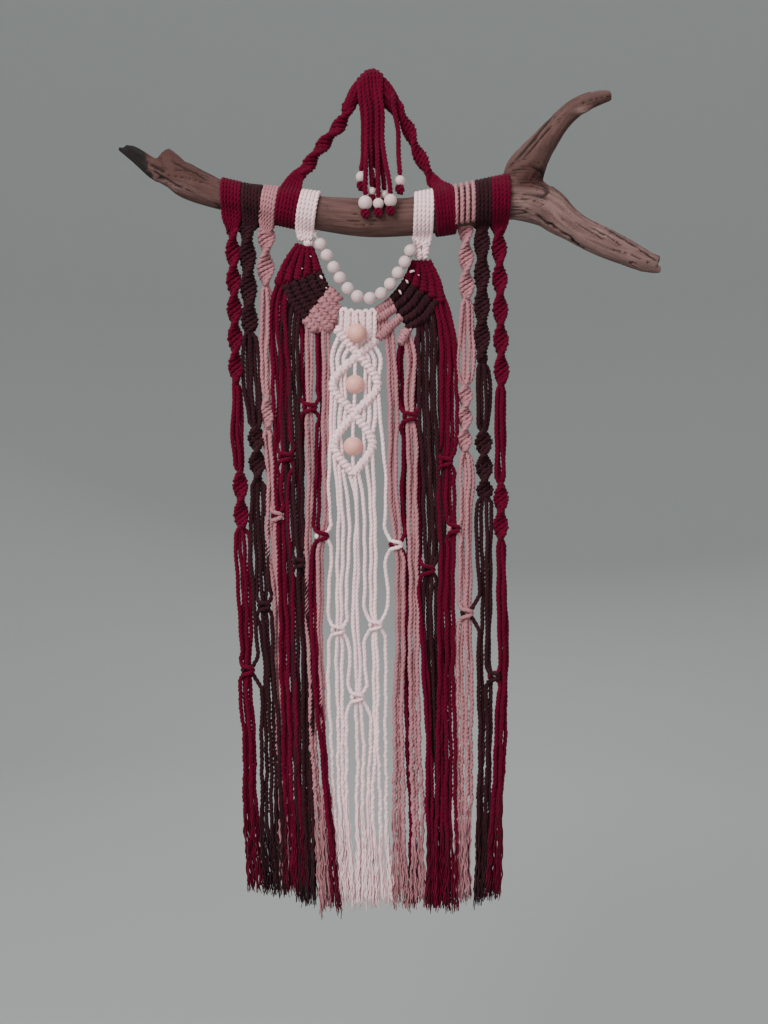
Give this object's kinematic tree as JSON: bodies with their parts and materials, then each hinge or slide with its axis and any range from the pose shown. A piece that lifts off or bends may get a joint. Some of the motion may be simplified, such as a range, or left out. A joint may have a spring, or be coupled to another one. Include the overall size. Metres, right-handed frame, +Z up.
{
  "type": "macrame wall hanging with its driftwood branch",
  "caption": "Knotted cord wall hanging on a forked driftwood branch, with side sinnets, a beaded collar, diamonds, loose knotted strands and a hanger with a tassel.",
  "frame": {"origin": "underside of the hanger's bend, where a wall nail carries it", "axes": "+X to the right as seen from the room, +Y towards the wall, +Z up"},
  "size_m": [0.5702, 0.0591, 0.8911],
  "materials": {
    "bordeaux_cord": "matt twisted cotton",
    "brown_cord": "matt twisted cotton",
    "pink_cord": "matt twisted cotton",
    "white_cord": "matt twisted cotton",
    "natural_bead": "smooth unvarnished wood",
    "white_bead": "matt white paint on wood",
    "driftwood": "weathered bare wood"
  },
  "bodies": {
    "root": {"driftwood_branch": "driftwood", "sinnet_left_bordeaux": "bordeaux_cord", "sinnet_left_brown": "brown_cord", "sinnet_left_pink": "pink_cord", "sinnet_right_bordeaux": "bordeaux_cord", "sinnet_right_brown": "brown_cord", "sinnet_right_pink": "pink_cord", "panel_left_bordeaux": "bordeaux_cord", "panel_left_brown": "brown_cord", "panel_left_pink": "pink_cord", "panel_right_bordeaux": "bordeaux_cord", "panel_right_brown": "brown_cord", "panel_right_pink": "pink_cord", "panel_centre_white": "white_cord", "tab_left_white": "white_cord", "tab_right_white": "white_cord", "bead_string": "white_cord", "wood_bead_upper": "natural_bead", "wood_bead_middle": "natural_bead", "wood_bead_lower": "natural_bead", "neck_bead_01": "white_bead", "neck_bead_02": "white_bead", "neck_bead_03": "white_bead", "neck_bead_04": "white_bead", "neck_bead_05": "white_bead", "neck_bead_06": "white_bead", "neck_bead_07": "white_bead", "neck_bead_08": "white_bead", "neck_bead_09": "white_bead", "neck_bead_10": "white_bead", "neck_bead_11": "white_bead", "neck_bead_12": "white_bead", "hanger_left_rope": "bordeaux_cord", "hanger_right_rope": "bordeaux_cord", "hanger_bend_tassel": "bordeaux_cord", "tassel_bead_1": "white_bead", "tassel_bead_2": "white_bead", "tassel_bead_3": "white_bead", "tassel_bead_4": "white_bead", "tassel_bead_5": "white_bead", "tassel_bead_6": "white_bead", "tassel_bead_7": "white_bead", "tassel_bead_8": "white_bead"}
  },
  "joints": []
}
